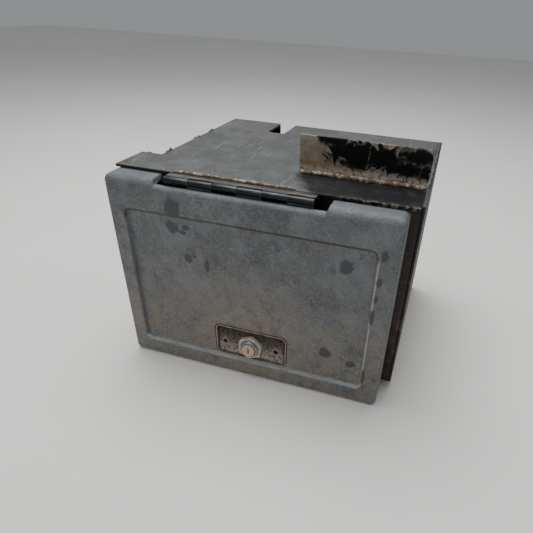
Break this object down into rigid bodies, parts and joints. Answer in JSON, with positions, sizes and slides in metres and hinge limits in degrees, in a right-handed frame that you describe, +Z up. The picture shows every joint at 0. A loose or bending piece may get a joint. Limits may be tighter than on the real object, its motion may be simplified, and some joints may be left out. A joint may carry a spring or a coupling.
{
  "type": "street fire alarm box",
  "caption": "Street fire alarm box: welded steel case, cast top-hinged locking door, and a coded clockwork movement, bell and signal key inside.",
  "frame": {"origin": "middle of the overall footprint, on the surface the box stands on", "axes": "+X to the right as seen from the door, +Y from the door to the rear plate, +Z up"},
  "size_m": [0.3122, 0.2836, 0.2587],
  "materials": {
    "case_paint": "weathered black paint, dusty",
    "cast_door": "sand-cast, dull and stained",
    "hinge_black": "black paint, worn at the knuckles",
    "rusty_steel": "bare rusty plate with patches of black paint",
    "weld_bead": "rough weld, rusty and chalky",
    "black_plate": "flaking black paint",
    "lock_nickel": "dull nickel plate",
    "lock_bronze": "dusty bare bronze",
    "movement_brass": "lacquered brass",
    "bright_steel": "plain machined steel",
    "black_fibre": "vulcanised fibre",
    "copper": "copper"
  },
  "bodies": {
    "case": {"base_runner_left": "case_paint", "base_runner_right": "case_paint", "bell_coil_1": "copper", "bell_coil_2": "copper", "bell_gong": "movement_brass", "bottom_plate": "case_paint", "bracket_weld": "weld_bead", "coil_yoke": "bright_steel", "contact_block": "black_fibre", "fixed_contact": "copper", "front_frame": "case_paint", "front_strip": "case_paint", "gong_post": "bright_steel", "hammer_pivot": "bright_steel", "hinge_pin": "hinge_black", "hinge_top_leaf": "hinge_black", "hinge_weld": "weld_bead", "key_base": "black_fibre", "key_bridge": "movement_brass", "left_side_plate": "case_paint", "lever_return_spring": "bright_steel", "mechanism_panel": "black_plate", "movement_back_plate": "movement_brass", "movement_front_plate": "movement_brass", "movement_pillar_1": "movement_brass", "movement_pillar_2": "movement_brass", "movement_pillar_3": "movement_brass", "panel_rail_left": "case_paint", "panel_rail_right": "case_paint", "rear_plate": "case_paint", "right_side_plate": "case_paint", "terminal_block": "black_fibre", "terminal_screw_1": "movement_brass", "terminal_screw_2": "movement_brass", "top_plate": "case_paint", "upright_bracket": "rusty_steel"},
    "door": {"door_casting": "cast_door", "hinge_door_leaf": "hinge_black", "hinge_screw_1": "bright_steel", "hinge_screw_2": "bright_steel", "hinge_screw_3": "bright_steel", "lock_plate": "black_plate", "lock_screw_1": "bright_steel", "lock_screw_2": "bright_steel", "lock_collar": "lock_bronze", "lock_housing": "lock_nickel", "lock_nut": "bright_steel"},
    "lock_rotor": {"lock_plug": "lock_bronze", "lock_cam": "bright_steel", "cam_nut": "bright_steel"},
    "pull_lever": {"pull_lever": "lock_nickel"},
    "great_train": {"great_wheel": "movement_brass", "mainspring_barrel": "movement_brass"},
    "code_train": {"code_arbor": "bright_steel", "centre_wheel": "movement_brass", "code_wheel": "movement_brass"},
    "fly_train": {"speed_fly": "bright_steel"},
    "contact_finger": {"code_contact_finger": "copper"},
    "hammer": {"bell_hammer": "bright_steel"},
    "key": {"key_lever": "movement_brass"}
  },
  "joints": [
    {"name": "door_hinge", "type": "hinge", "parent": "case", "child": "door", "pos_m": [0, -0.12615, 0.22], "axis": [-1, 0, 0], "range_deg": [0, 130]},
    {"name": "lock_turn", "type": "hinge", "parent": "door", "child": "lock_rotor", "pos_m": [-0.00335, -0.12, 0.0418], "axis": [0, 1, 0], "range_deg": [0, 90]},
    {"name": "lever_pull", "type": "hinge", "parent": "case", "child": "pull_lever", "pos_m": [-0.091, 0.058, 0.164], "axis": [0, -1, 0], "range_deg": [0, 35], "stiffness_Nm_per_rad": 0.25},
    {"name": "great_turn", "type": "hinge", "parent": "case", "child": "great_train", "pos_m": [-0.067, 0.09, 0.12], "axis": [0, 1, 0], "continuous": true},
    {"name": "code_turn", "type": "hinge", "parent": "case", "child": "code_train", "pos_m": [-0.03751, 0.09, 0.14065], "axis": [0, 1, 0], "continuous": true},
    {"name": "fly_turn", "type": "hinge", "parent": "case", "child": "fly_train", "pos_m": [-0.01453, 0.09, 0.12137], "axis": [0, 1, 0], "continuous": true},
    {"name": "contact_lift", "type": "hinge", "parent": "case", "child": "contact_finger", "pos_m": [-0.02181, 0.0596, 0.16615], "axis": [0, 1, 0], "range_deg": [0, 5], "stiffness_Nm_per_rad": 0.05},
    {"name": "hammer_swing", "type": "hinge", "parent": "case", "child": "hammer", "pos_m": [0.05625, 0.0928, 0.06], "axis": [0, 1, 0], "range_deg": [0, 2], "stiffness_Nm_per_rad": 0.1},
    {"name": "key_press", "type": "hinge", "parent": "case", "child": "key", "pos_m": [0.019, 0.10185, 0.049], "axis": [0, 0, -1], "range_deg": [0, 4], "stiffness_Nm_per_rad": 0.3}
  ],
  "couplings": [
    {"joint": "code_turn", "follows": "great_turn", "ratio": -5},
    {"joint": "fly_turn", "follows": "great_turn", "ratio": 20}
  ]
}
